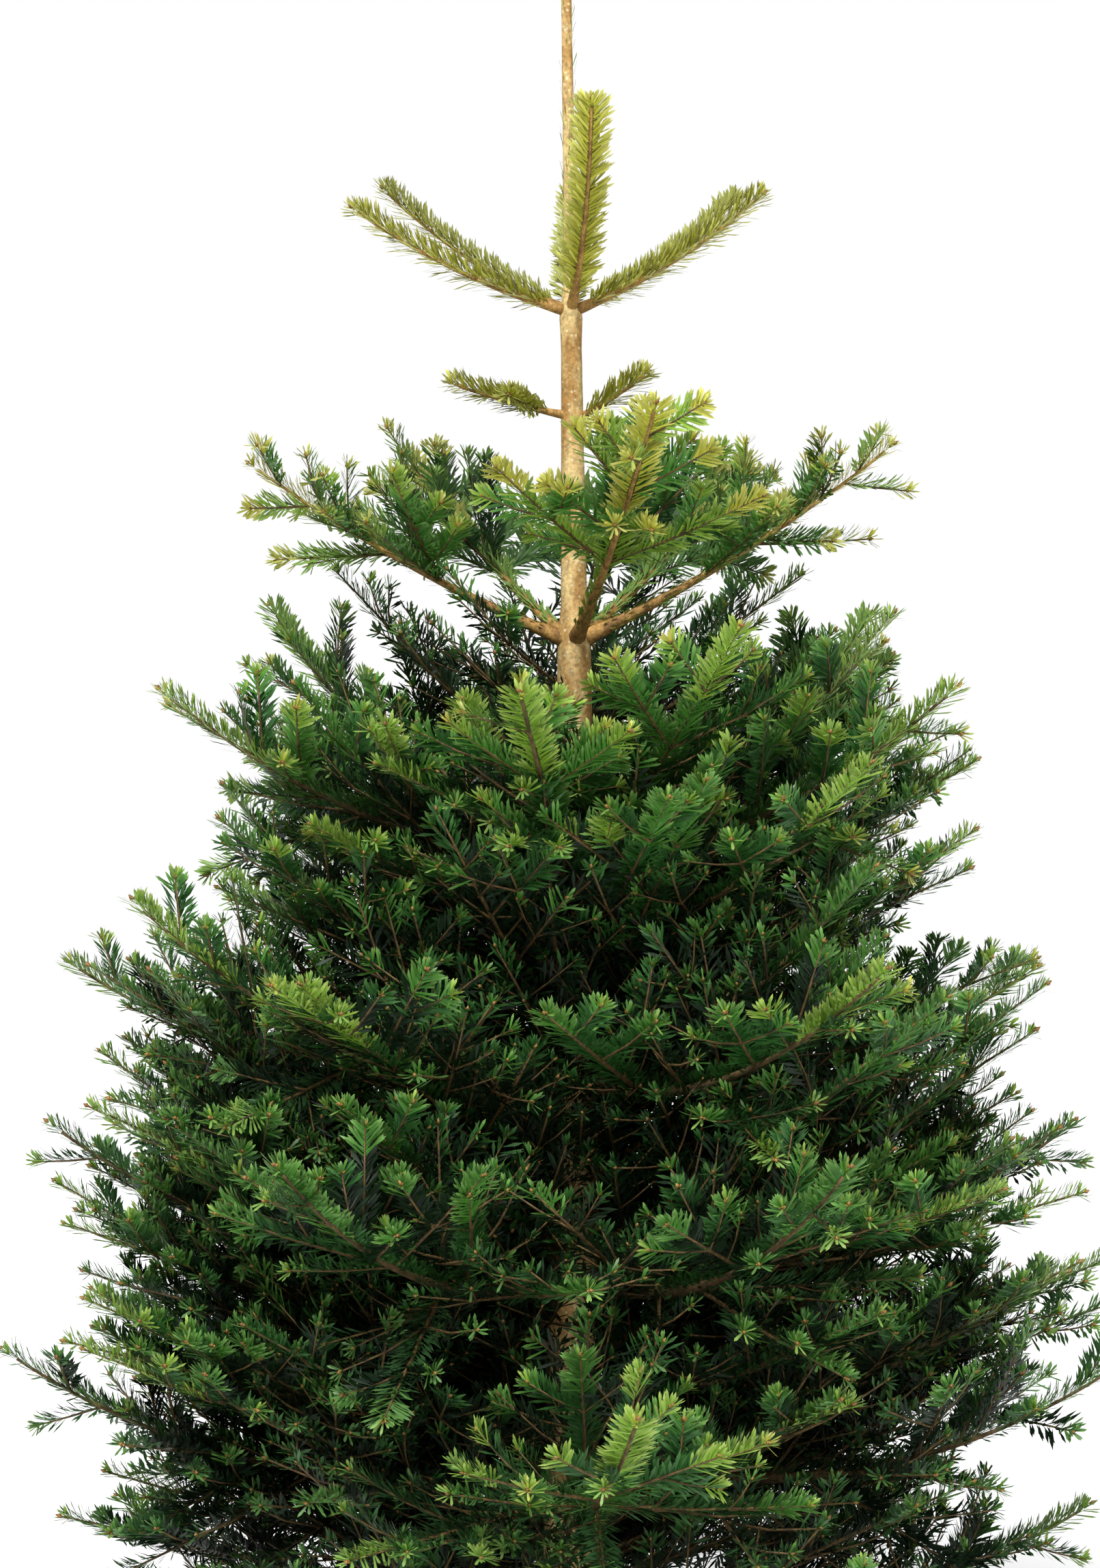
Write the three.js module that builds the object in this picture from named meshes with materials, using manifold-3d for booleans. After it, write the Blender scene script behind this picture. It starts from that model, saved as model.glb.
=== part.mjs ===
// A cut fir tree for Christmas, about 1.6 m tall, on a plain crossed-board stand.
//
// One straight trunk runs from a flat cut on the stand to the tip of its leader. Limbs leave it in
// seven whorls, here called tiers, tier1 at the top. The upper tiers have bare boughs that carry a
// mass of foliage each; the lowest tiers are in leaf all the way to the trunk, so their masses start
// there. A mass is one three-sided twig with sprays of needles fused on: toothed blades, thickest
// along their own twig.
//
// Millimetres, +Z up. The origin is the middle of the stand's underside, below the trunk. -Y is the
// front of the tree, and compass angles run anticlockwise from +X as seen from above.
import * as THREE from "three";
import { mergeVertices } from "three/addons/utils/BufferGeometryUtils.js";
import Module from "manifold-3d";

const wasm = await Module();
wasm.setup();

// ---------------------------------------------------------------- driving dimensions

const gap = 0.3; // between pieces that touch

const board = { length: 480, width: 76, thickness: 30 };
const brace = { length: 92, toe: 12, height: 66, top: 14, thickness: 24 };

const trunkFoot = board.thickness + gap; // the flat cut
const trunkTip = 1620;
const trunkSides = 10;
const trunkBow = 8; // how far the trunk bends towards +X half-way up
// Radius of the trunk at each height: a step down at the two upper tiers, where the year's growth ends.
const trunkProfile = [
  [trunkFoot, 31],
  [75, 29.5],
  [180, 28],
  [320, 25.5],
  [475, 23],
  [645, 20.5],
  [830, 18],
  [1005, 15.2],
  [1031, 14.6],
  [1062, 11.8],
  [1290, 9.2],
  [1318, 10.4],
  [1348, 6],
  [1560, 4.7],
  [1604, 4.7],
  [trunkTip, 2.4],
];

// Each tier: the height where its limbs leave the trunk, their length, their radius there, their pitch
// above level at the trunk and at the tip, the share of their length that is a bare bough, the number
// of nodes along the foliage where side twigs leave, and the widest reach of a spray from its twig.
// Each limb: its compass angle, its length over its tier's, and its extra pitch.
const tiers = [
  {
    height: 1322, length: 222, radius: 4.2, pitch: [24, 46], bare: 0, nodes: 0, reach: 17,
    limbs: [[200, 0.97, -13], [152, 1, -2], [280, 0.97, 12], [340, 0.89, -7], [28, 0.94, -2], [90, 0.9, 6]],
  },
  {
    height: 1031, length: 352, radius: 6.5, pitch: [23, 38], bare: 0.36, nodes: 2, reach: 62,
    limbs: [[190, 0.96, -2], [283, 1, 2], [350, 0.97, 1], [55, 0.97, 3], [125, 0.97, 4]],
  },
  {
    height: 830, length: 418, radius: 8, pitch: [7, 38], bare: 0.27, nodes: 2, reach: 88,
    limbs: [[200, 1, 0], [265, 0.95, 0], [325, 1, 0], [33, 1.02, 12], [145, 1.05, 12]],
  },
  {
    height: 645, length: 472, radius: 9, pitch: [-6, 36], bare: 0.2, nodes: 2, reach: 92,
    limbs: [[215, 1, 6], [300, 0.97, 0], [12, 0.92, -2], [82, 1, 3], [162, 1.03, -3]],
  },
  {
    height: 475, length: 518, radius: 9.5, pitch: [-5, 38], bare: 0, nodes: 2, reach: 92,
    limbs: [[298, 1, 0], [240, 1, 0], [178, 0.97, 0], [95, 1, 0], [15, 1, -2]],
  },
  {
    height: 320, length: 528, radius: 9.5, pitch: [-11, 37], bare: 0, nodes: 2, reach: 92,
    limbs: [[272, 1, 0], [200, 1, 0], [335, 1, 0], [50, 1, 0], [125, 1, 0]],
  },
  {
    height: 180, length: 480, radius: 9, pitch: [-12, 30], bare: 0, nodes: 2, reach: 92,
    limbs: [[236, 1, 0], [308, 1, 0], [12, 1, 0], [88, 1, 0], [162, 1, 0]],
  },
];

// The short twigs between tier1 and tier2.
const sideTier = { radius: 3.4, bare: 0, nodes: 1, reach: 22, halfSlice: 90 };
const sideTwigs = [
  { name: "side_twig_left", height: 1230, length: 112, pitch: [8, 18], compass: 196 },
  { name: "side_twig_right", height: 1226, length: 82, pitch: [20, 34], compass: 330 },
];

const tipRadius = 2.2; // a limb's own tip
const firstNode = 0.2; // where side twigs start on a limb that is in leaf to the trunk
const lastNodeStep = 0.7; // how far past its last node but one a limb's end spray starts, over their spacing
const shootStart = 0.1; // where the needles of a limb with no nodes start
const limbVariation = 0.04; // how much longer or shorter a limb may be than its tier's
const limbSweep = 0.06; // how far a limb may sweep sideways, over its length

// Angles are in degrees: a side twig's angle off its limb, its lift out of the limb's plane and its roll
// about itself, each with how much it varies, and its length over what is left of the limb.
const sideTwig = {
  angle: 48, angleVaries: 6, lift: 6, liftVaries: 14, rollVaries: 25, share: 0.72, shareVaries: 0.08,
};
// The twigs above and below a limb, each some steps past a node: their lift, and what all have in common.
const upperTwig = { lift: 46, step: 0.3 };
const lowerTwig = { lift: -36, step: 0.55 };
const offTwig = { angleVaries: 20, liftVaries: 8, rollVaries: 45, share: 0.5, longest: 240 };
const lowestTip = 70; // no twig ends lower than this
const sliceOverlap = 6; // degrees that a mass may pass the middle between two limbs

const bendUp = 0.05; // how far a side twig's tip bends up, over its length
const twigRidge = 3.4; // how far a twig stands out of its spray
const longSpray = 190; // a spray longer than this has three teeth a side, and a shorter one two
const narrowSpray = 0.36; // a spray's reach from its twig is at most this, over its length
const toothFalloff = 0.45; // how much shorter a spray's last teeth are than its first
const toothLead = 0.85; // how far forward a tooth points, over its width
const toothRise = 0.5; // how far a tooth is turned up, over its width, and down
const toothDroop = 0.25;
const notchShare = 0.3; // the width left between teeth, over theirs
const clearOfOthers = 0.6; // a spray nearer than this to another node is made shorter or left out
const shorterTries = [1, 0.8, 0.6]; // the lengths tried, over a spray's full one
const radians = Math.PI / 180;

// ---------------------------------------------------------------- solids from geometry

function solidOf(geometry) {
  const bare = geometry.index ? geometry.toNonIndexed() : geometry.clone();
  bare.deleteAttribute("normal");
  bare.deleteAttribute("uv");
  const merged = mergeVertices(bare, 1e-4);
  return new wasm.Manifold(
    new wasm.Mesh({
      numProp: 3,
      vertProperties: merged.attributes.position.array,
      triVerts: new Uint32Array(merged.index.array),
    }),
  );
}

function geometryOf(solid) {
  const { vertProperties, triVerts } = solid.getMesh();
  const geometry = new THREE.BufferGeometry();
  geometry.setAttribute("position", new THREE.BufferAttribute(vertProperties, 3));
  geometry.setIndex(new THREE.BufferAttribute(triVerts, 1));
  geometry.computeVertexNormals();
  return geometry;
}

// A seeded run of numbers from 0 to 1.
function seeded(seed) {
  let state = seed >>> 0;
  return () => {
    state = (Math.imul(state, 1664525) + 1013904223) >>> 0;
    return state / 4294967296;
  };
}

// ---------------------------------------------------------------- trunk

// The trunk's middle at a height.
function trunkCentre(height) {
  return new THREE.Vector3(trunkBow * Math.sin((Math.PI * height) / trunkTip), 0, height);
}

// A tapering tube of rings: ringAt(i) gives ring i's centre, radius and the two directions across it.
function ringedTube(rings, sides, ringAt) {
  const tube = new THREE.CylinderGeometry(1, 1, 1, sides, rings - 1);
  const position = tube.attributes.position;
  const corner = new THREE.Vector3();
  for (let i = 0; i < position.count; i++) {
    const [x, y, z] = [position.getX(i), position.getY(i), position.getZ(i)];
    const { centre, radius, across, over } = ringAt(Math.round((y + 0.5) * (rings - 1)));
    corner.copy(centre).addScaledVector(over, x * radius).addScaledVector(across, z * radius);
    position.setXYZ(i, corner.x, corner.y, corner.z);
  }
  return tube;
}

function trunkSolid(extra) {
  const across = new THREE.Vector3(1, 0, 0);
  const over = new THREE.Vector3(0, 1, 0);
  return solidOf(
    ringedTube(trunkProfile.length, trunkSides, (i) => {
      const [height, radius] = trunkProfile[i];
      return { centre: trunkCentre(height), radius: radius + extra, across, over };
    }),
  );
}

// ---------------------------------------------------------------- limbs

// A limb bends evenly from its pitch at the trunk to its pitch at the tip, and sweeps a little sideways.
function makeLimb({ height, length, radius, pitch }, [compass, lengthShare, extraPitch], random) {
  const lengthened = length * lengthShare * (1 + limbVariation * (2 * random() - 1));
  const sweep = limbSweep * (2 * random() - 1) * lengthened;
  const out = new THREE.Vector3(Math.cos(compass * radians), Math.sin(compass * radians), 0);
  const side = new THREE.Vector3(-out.y, out.x, 0);
  const turned = pitch.map((angle) => angle + extraPitch);
  return { root: trunkCentre(height), length: lengthened, radius, pitch: turned, out, side, sweep };
}

function limbPoint(limb, share) {
  const [start, end] = [limb.pitch[0] * radians, limb.pitch[1] * radians];
  const turn = end - start;
  const here = start + turn * share;
  const run = (limb.length * (Math.sin(here) - Math.sin(start))) / turn;
  const rise = (limb.length * (Math.cos(start) - Math.cos(here))) / turn;
  return limb.root
    .clone()
    .addScaledVector(limb.out, run)
    .addScaledVector(limb.side, limb.sweep * share * share)
    .setZ(limb.root.z + rise);
}

// The limb's direction, the direction to its left, and the one out of its upper side.
function limbFrame(limb, share) {
  const step = 0.002;
  const along = limbPoint(limb, share + step).sub(limbPoint(limb, share - step)).normalize();
  const across = new THREE.Vector3(0, 0, 1).cross(along).normalize();
  return { centre: limbPoint(limb, share), along, across, over: along.clone().cross(across) };
}

function limbRadius(limb, share) {
  return limb.radius + (tipRadius - limb.radius) * share;
}

function limbSolid(limb, from, to, sides, rings) {
  return solidOf(
    ringedTube(rings, sides, (i) => {
      const share = from + ((to - from) * i) / (rings - 1);
      return { ...limbFrame(limb, share), radius: limbRadius(limb, share) };
    }),
  );
}

// ---------------------------------------------------------------- sprays of needles

// A toothed blade on a three-sided twig. The twig is the ridge down its middle, which bends up by a rise
// at its tip. Each tooth is a side shoot: it points forward, and the teeth turn up and down by turns.
function spraySolid({ centre, along, across, over }, length, widest, rise) {
  const teeth = length > longSpray ? 3 : 2;
  const step = length / teeth;
  const reach = Math.min(widest, narrowSpray * length);
  const places = [];
  const faces = [];
  const place = (forward, sideways, up) => {
    const bent = up + rise * (forward / length) ** 2;
    const corner = centre.clone().addScaledVector(along, forward);
    corner.addScaledVector(across, sideways).addScaledVector(over, bent);
    places.push(corner.x, corner.y, corner.z);
    return places.length / 3 - 1;
  };
  const tip = place(length, 0, 0);
  const ridge = [];
  for (let i = 0; i < teeth; i++) ridge.push(place(i * step, 0, twigRidge * (1 - (0.5 * i) / teeth)));
  ridge.push(tip);
  const edges = [1, -1].map((hand) => {
    const edge = [];
    for (let i = 0; i < teeth; i++) {
      const width = reach * (1 - (toothFalloff * i) / (teeth - 1));
      const up = ((i + (hand > 0 ? 1 : 0)) % 2 ? toothRise : -toothDroop) * width;
      const valley = i ? notchShare * width : 0.7 * twigRidge;
      // the notch before a drooping tooth sags with it, so that its skins stay apart
      edge.push(place(i * step, hand * valley, -0.3 * twigRidge + (Math.min(0, up) * valley) / width));
      edge.push(place(Math.min(0.93 * length, (i + 0.2) * step + toothLead * width), hand * width, up));
    }
    return [...edge, tip];
  });
  for (const [edge, left] of [[edges[0], true], [edges[1], false]])
    for (let i = 0; i < teeth; i++) {
      const [valley, tooth, next] = edge.slice(2 * i, 2 * i + 3);
      const skin = [[ridge[i], tooth, valley], [ridge[i], next, tooth], [valley, tooth, next]];
      if (next !== tip) skin.push([ridge[i], ridge[i + 1], next]);
      faces.push(...skin.map(([p, q, r]) => (left ? [p, q, r] : [p, r, q])));
    }
  for (let i = 0; i < teeth; i++) {
    const [left, nextLeft] = [edges[0][2 * i], edges[0][2 * i + 2]];
    const [right, nextRight] = [edges[1][2 * i], edges[1][2 * i + 2]];
    faces.push([left, nextLeft, right]);
    if (nextLeft !== tip) faces.push([nextLeft, nextRight, right]);
  }
  faces.push([ridge[0], edges[0][0], edges[1][0]]);
  for (let i = 0; i < teeth; i++)
    for (const [edge, hand] of [[edges[0], 1], [edges[1], -1]])
      if (hand * thickness(places, ridge[i], edge.slice(2 * i, 2 * i + 3)) <= 0)
        throw new Error("a tooth's skins cross");
  const geometry = new THREE.BufferGeometry();
  geometry.setAttribute("position", new THREE.Float32BufferAttribute(places, 3));
  geometry.setIndex(faces.flat());
  return solidOf(geometry);
}

// How far a place lies above the plane of three others that run anticlockwise seen from above.
function thickness(places, above, corners) {
  const [place, p, q, r] = [above, ...corners].map((i) => new THREE.Vector3().fromArray(places, 3 * i));
  return new THREE.Plane().setFromCoplanarPoints(p, r, q).distanceToPoint(place);
}

// Turns a frame by an angle off its direction, lifts it out of its plane, and rolls it about itself.
function branchFrame({ along, across, over }, centre, angle, lift, roll) {
  const ahead = along.clone().multiplyScalar(Math.cos(angle)).addScaledVector(across, Math.sin(angle));
  ahead.multiplyScalar(Math.cos(lift)).addScaledVector(over, Math.sin(lift)).normalize();
  const left = over.clone().cross(ahead).normalize().applyAxisAngle(ahead, roll);
  return { centre, along: ahead, across: left, over: ahead.clone().cross(left) };
}

// ---------------------------------------------------------------- masses of foliage

// A mass keeps to the slice of the crown round its own limb.
function inOwnSpace(limb, halfSlice, frame, length) {
  const end = frame.centre.clone().addScaledVector(frame.along, length).sub(limb.root);
  const off = Math.atan2(end.dot(limb.side), end.dot(limb.out));
  return Math.abs(off) < halfSlice * radians && end.z + limb.root.z > lowestTip;
}

const built = []; // every solid so far, that later sprays keep clear of

function boxesApart(a, b) {
  const apart = (low, high, axis) => low.min[axis] > high.max[axis] + clearOfOthers;
  return [0, 1, 2].some((axis) => apart(a, b, axis) || apart(b, a, axis));
}

function touchesOthers(solid) {
  const box = solid.boundingBox();
  const touches = (other) => solid.minGap(other.solid, clearOfOthers) < clearOfOthers;
  return built.some((other) => !boxesApart(box, other.box) && touches(other));
}

// The sprays along one limb: a twig to either side at each node, and on a limb with several nodes, one
// above it past each node and one below it past the first.
function sprayList(limb, nodes, start, random) {
  const list = [];
  const vary = (size) => (2 * random() - 1) * size;
  const twigAt = (share, { angle = 0, lift, angleVaries, liftVaries, rollVaries }) => {
    const frame = limbFrame(limb, share);
    const turn = [angle + vary(angleVaries), lift + vary(liftVaries), vary(rollVaries)];
    return branchFrame(frame, frame.centre, ...turn.map((degrees) => degrees * radians));
  };
  const spacing = (1 - start) / (nodes + 0.25);
  for (let node = 0; node < nodes; node++) {
    const share = start + spacing * (node + 0.12);
    const left = limb.length * (1 - share);
    for (const hand of [1, -1]) {
      const frame = twigAt(share, { ...sideTwig, angle: hand * sideTwig.angle });
      const length = left * sideTwig.share * (1 + vary(sideTwig.shareVaries));
      list.push({ frame, length, rise: bendUp * length });
    }
    if (nodes === 1) continue;
    for (const { lift, step } of node ? [upperTwig] : [upperTwig, lowerTwig]) {
      const frame = twigAt(share + step * spacing, { ...offTwig, lift });
      list.push({ frame, length: Math.min(offTwig.longest, offTwig.share * left), rise: 0 });
    }
  }
  return list;
}

// The spray that ends a limb from one share of it on, and follows its bend.
function endSpray(limb, from) {
  const { centre, across } = limbFrame(limb, from);
  const along = limbPoint(limb, from + 0.1).sub(centre).normalize();
  const over = along.clone().cross(across);
  const end = limbPoint(limb, 1).sub(centre);
  return { frame: { centre, along, across, over }, length: end.dot(along), rise: end.dot(over) };
}

function massSolid(limb, { bare, nodes, reach, halfSlice }, random) {
  const leafy = bare || firstNode;
  const lastNode = nodes ? leafy + ((1 - leafy) * (nodes - 1 + lastNodeStep)) / (nodes + 0.25) : shootStart;
  const stem = limbSolid(limb, bare, lastNode + 0.03, 3, nodes + 2).subtract(trunkClear);
  const pieces = [stem];
  const sprays = [endSpray(limb, lastNode), ...sprayList(limb, nodes, leafy, random)];
  for (const { frame, length, rise } of sprays) {
    for (const share of shorterTries) {
      if (!inOwnSpace(limb, halfSlice, frame, share * length)) continue;
      const spray = spraySolid(frame, share * length, reach, rise);
      if (touchesOthers(spray)) continue;
      pieces.push(spray);
      break;
    }
  }
  return filled(wasm.Manifold.union(pieces));
}

// Fills the hollows that crossing sprays seal between them.
function filled(solid) {
  const skins = solid.decompose().filter((skin) => skin.volume() > 0);
  if (skins.length !== 1) throw new Error("a mass is not in one piece");
  return skins[0];
}

// ---------------------------------------------------------------- materials

const materials = {
  bark: new THREE.MeshStandardMaterial({ color: 0x8c7650, roughness: 0.85, metalness: 0 }),
  boughBark: new THREE.MeshStandardMaterial({ color: 0x7a5c34, roughness: 0.8, metalness: 0 }),
  needles: new THREE.MeshStandardMaterial({ color: 0x2f5a24, roughness: 0.5, metalness: 0 }),
  freshNeedles: new THREE.MeshStandardMaterial({ color: 0x6f8f33, roughness: 0.5, metalness: 0 }),
  sawnWood: new THREE.MeshStandardMaterial({ color: 0xc9a877, roughness: 0.7, metalness: 0 }),
};

const tree = new THREE.Group();

function addNode(name, solid, material) {
  const mesh = new THREE.Mesh(geometryOf(solid), material);
  mesh.name = name;
  tree.add(mesh);
  built.push({ solid, box: solid.boundingBox() });
}

// ---------------------------------------------------------------- stand

function extrudedAcross(outline, width) {
  const shape = new THREE.Shape(outline.map(([x, z]) => new THREE.Vector2(x, z)));
  const solid = new THREE.ExtrudeGeometry(shape, { depth: width, bevelEnabled: false });
  return solid.rotateX(Math.PI / 2).translate(0, width / 2, 0);
}

// A board with a notch half-way through its middle, in its top face. Turned over, it has it underneath.
function notchedBoard(turnedOver) {
  const [half, notch] = [board.length / 2, board.width / 2 + gap];
  const [top, low] = [board.thickness, board.thickness / 2 - gap / 2];
  const bottomEdge = [[-half, 0], [half, 0]];
  const topEdge = [[half, top], [notch, top], [notch, low], [-notch, low], [-notch, top], [-half, top]];
  const solid = extrudedAcross([...bottomEdge, ...topEdge], board.width);
  if (turnedOver) solid.rotateX(Math.PI).translate(0, 0, top);
  return solid;
}

// A wedge that stands on a board's arm against the trunk, its inner face scribed to the bark.
function braceGeometry() {
  const [inner, bark] = [8, trunkProfile[0][1]];
  const foot = [[inner, 0], [bark + brace.length, 0], [bark + brace.length, brace.toe]];
  const top = [[bark + brace.top, brace.height], [inner, brace.height]];
  return extrudedAcross([...foot, ...top], brace.thickness).translate(0, 0, trunkFoot);
}

// ---------------------------------------------------------------- the tree

const trunk = trunkSolid(0);
const trunkClear = trunkSolid(gap);
addNode("trunk", trunk, materials.bark);

addNode("stand_board_lower", solidOf(notchedBoard(false)), materials.sawnWood);
addNode("stand_board_upper", solidOf(notchedBoard(true).rotateZ(Math.PI / 2)), materials.sawnWood);
for (let arm = 0; arm < 4; arm++) {
  const wedge = solidOf(braceGeometry().rotateZ((arm * Math.PI) / 2)).subtract(trunkClear);
  addNode(`stand_brace_${arm + 1}`, wedge, materials.sawnWood);
}

const limbs = tiers.map((tier, index) =>
  tier.limbs.map((place, order) => {
    const random = seeded(1000 * (index + 1) + 37 * order + 5);
    return { limb: makeLimb(tier, place, random), random };
  }),
);

// The bare boughs come first, so that the foliage keeps clear of them all.
tiers.forEach((tier, index) => {
  if (!tier.bare) return;
  limbs[index].forEach(({ limb }, place) => {
    const end = tier.bare - gap / limb.length;
    const bough = limbSolid(limb, 0, end, 6, 4).subtract(trunkClear);
    addNode(`bough_tier${index + 1}_${place + 1}`, bough, materials.boughBark);
  });
});

tiers.forEach((tier, index) => {
  const halfSlice = 180 / tier.limbs.length + sliceOverlap;
  limbs[index].forEach(({ limb, random }, place) => {
    const mass = massSolid(limb, { ...tier, halfSlice }, random);
    const kind = index === 0 ? "top_shoot" : `foliage_tier${index + 1}`;
    addNode(`${kind}_${place + 1}`, mass, index < 2 ? materials.freshNeedles : materials.needles);
  });
});

for (const { name, height, length, pitch, compass } of sideTwigs) {
  const random = seeded(height);
  const limb = makeLimb({ ...sideTier, height, length, pitch }, [compass, 1, 0], random);
  addNode(name, massSolid(limb, sideTier, random), materials.freshNeedles);
}

export default tree;
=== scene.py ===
"""A cut fir tree for Christmas on a plain crossed-board stand, dressed over its CAD frame.

The limbs follow the same rule as the solids, and here their twigs fork on into the shoots of each
year, which carry the needles and end in buds. Z is up, -Y is the front, and compass angles run
anticlockwise from +X. Tables are in millimetres, and everything built is in metres.
"""

import math

import bmesh
import bpy
import numpy as np
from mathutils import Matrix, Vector, noise


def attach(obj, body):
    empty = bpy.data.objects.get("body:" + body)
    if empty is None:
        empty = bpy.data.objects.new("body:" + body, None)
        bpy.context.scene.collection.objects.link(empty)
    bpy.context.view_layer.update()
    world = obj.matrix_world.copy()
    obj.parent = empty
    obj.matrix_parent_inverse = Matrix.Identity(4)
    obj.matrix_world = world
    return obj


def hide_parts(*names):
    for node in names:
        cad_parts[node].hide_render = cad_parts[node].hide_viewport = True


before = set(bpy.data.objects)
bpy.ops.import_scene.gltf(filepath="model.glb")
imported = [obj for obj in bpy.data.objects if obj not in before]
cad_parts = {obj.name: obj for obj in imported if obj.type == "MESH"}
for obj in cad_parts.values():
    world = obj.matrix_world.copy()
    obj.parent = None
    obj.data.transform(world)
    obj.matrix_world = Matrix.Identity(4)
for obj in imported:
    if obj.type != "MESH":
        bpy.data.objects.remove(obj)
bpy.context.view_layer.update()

MM = 0.001

# ---------------------------------------------------------------- driving dimensions

TRUNK_FOOT = 30.3
TRUNK_TIP = 1620
TRUNK_BOW = 8
TRUNK_PROFILE = [  # height and radius
    (30.3, 31), (75, 29.5), (180, 28), (320, 25.5), (475, 23), (645, 20.5), (830, 18), (1005, 15.2),
    (1031, 14.6), (1062, 11.8), (1290, 9.2), (1318, 10.4), (1348, 6), (1560, 4.7), (1604, 4.7),
    (1620, 2.4),
]

# Each tier: where its limbs leave the trunk, their length and radius, their pitch at trunk and tip, the
# share that is bare, the nodes, a spray's reach, and how far a twig grows in a year.
# Each limb: compass angle, length over its tier's, extra pitch.
TIERS = [
    dict(height=1322, length=222, radius=4.2, pitch=(24, 46), bare=0, nodes=0, reach=17, year=240,
         limbs=[(200, 0.97, -13), (152, 1, -2), (280, 0.97, 12), (340, 0.89, -7), (28, 0.94, -2),
                (90, 0.9, 6)]),
    dict(height=1031, length=352, radius=6.5, pitch=(23, 38), bare=0.36, nodes=2, reach=62, year=86,
         fill=21, limbs=[(190, 0.96, -2), (283, 1, 2), (350, 0.97, 1), (55, 0.97, 3),
                         (125, 0.97, 4)]),
    dict(height=830, length=418, radius=8, pitch=(7, 38), bare=0.27, nodes=2, reach=88, year=78,
         limbs=[(200, 1, 0), (265, 0.95, 0), (325, 1, 0), (33, 1.02, 12), (145, 1.05, 12)]),
    dict(height=645, length=472, radius=9, pitch=(-6, 36), bare=0.2, nodes=2, reach=92, year=76,
         limbs=[(215, 1, 6), (300, 0.97, 0), (12, 0.92, -2), (82, 1, 3), (162, 1.03, -3)]),
    dict(height=475, length=518, radius=9.5, pitch=(-5, 38), bare=0, nodes=2, reach=92, year=76,
         limbs=[(298, 1, 0), (240, 1, 0), (178, 0.97, 0), (95, 1, 0), (15, 1, -2)]),
    dict(height=320, length=528, radius=9.5, pitch=(-11, 37), bare=0, nodes=2, reach=92, year=76,
         limbs=[(272, 1, 0), (200, 1, 0), (335, 1, 0), (50, 1, 0), (125, 1, 0)]),
    dict(height=180, length=480, radius=9, pitch=(-12, 30), bare=0, nodes=2, reach=92, year=74,
         limbs=[(236, 1, 0), (308, 1, 0), (12, 1, 0), (88, 1, 0), (162, 1, 0)]),
]
SIDE_TWIGS = [  # the short limbs between the two top tiers, at the left and at the right
    dict(height=1230, length=112, radius=3.4, pitch=(8, 18), bare=0, nodes=1,
         reach=22, year=80, limbs=[(196, 1, 0)]),
    dict(height=1226, length=82, radius=3.4, pitch=(20, 34), bare=0, nodes=1,
         reach=22, year=80, limbs=[(330, 1, 0)]),
]
TIP_RADIUS = 2.2
FIRST_NODE = 0.2
LIMB_VARIATION = 0.04
LIMB_SWEEP = 0.06
LOWEST_TIP = 70
SLICE_OVERLAP = 6  # degrees by which a limb's twigs may pass into the next limb's slice
BEND_UP = 0.05  # a twig's rise over its length, and that of the finer ones
FINE_BEND_UP = 0.14

# Degrees off the limb, lifted out of its plane and rolled, each with how much it varies; the length is
# a share of what is left of the limb.
SIDE_TWIG = dict(angle=48, angle_varies=6, lift=6, lift_varies=14, roll_varies=25, share=0.72,
                 share_varies=0.08)
UPPER_TWIG = dict(lift=46, step=0.3)
LOWER_TWIG = dict(lift=-36, step=0.55)
OFF_TWIG = dict(angle_varies=20, lift_varies=8, roll_varies=45, share=0.5, longest=240)

# The finer twigs: the same fork again, a pair at the end of each year's growth, and now and then a
# short shoot between two pairs.
FORK = dict(angle=44, angle_varies=9, lift=5, lift_varies=17, roll_varies=30, share=0.72,
            share_varies=0.14)
PAIR_BACK = 0.12  # how far a pair may leave before the end of its year's growth
BETWEEN = dict(chance=0.4, share=0.42, longest=70, back=0.35, back_varies=0.3)
FILL_VARIES = dict(angle_varies=16, lift_varies=16, roll_varies=40)
SHORTEST = 44
FILL_STEP = 36  # how far apart the finer twigs leave a limb, in turn to the left, up, right and down
FILL = [(SIDE_TWIG["angle"], 8, 0.6), (14, 40, 0.5), (-SIDE_TWIG["angle"], 8, 0.6), (-14, -30, 0.44)]
SHORTEST_FILL = 55
FIRST_FILL, LAST_FILL = 0.07, 0.92  # between what shares of a limb, where none of it is bare
# Limbs with painted light or shade on their needles over their tier, by tier and place in it, both from
# 0: the low limb at the front is painted lighter, and the low limbs at the left are painted darker.
LIMB_PAINTED_LIGHT = {(5, 0): 0.8, (4, 2): -0.2, (5, 1): -0.2, (6, 4): -0.2}
# The small branches that leave the trunk between the tiers: between what heights, in what arcs, how
# many, their length over the crown's radius there, their pitch, and how much lighter than their tier.
SMALL_BRANCHES = [
    dict(low=190, high=640, arcs=[(-62, 242)], count=98, shares=(0.74, 1.02), pitch=(8, 36)),
    dict(low=640, high=835, arcs=[(-180, 180)], count=46, shares=(0.68, 1.02), pitch=(8, 36)),
    dict(low=200, high=800, arcs=[(-180, 180)], count=44, shares=(0.34, 0.6), pitch=(6, 32)),
    dict(low=150, high=480, arcs=[(-38, 38), (142, 218)], count=96, shares=(0.88, 1.06), pitch=(6, 34)),
    dict(low=150, high=560, arcs=[(148, 214)], count=97, shares=(0.8, 1.0), pitch=(0, 30), shade=-0.2),
    dict(low=700, high=860, arcs=[(-30, 36)], count=45, shares=(0.8, 1.0), pitch=(8, 34)),
    dict(low=540, high=720, arcs=[(-125, -55)], count=47, shares=(0.3, 0.5), pitch=(0, 26)),
    dict(low=845, high=985, arcs=[(-42, 222)], count=26, shares=(0.5, 0.85), pitch=(14, 38)),
]
CROWN_RADIUS = [(180, 450), (320, 490), (475, 480), (645, 440), (830, 385), (980, 300)]
TWIG_TIP = 0.8  # a twig's radius at its tip, and how much thicker it is at its foot for its length
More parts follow.
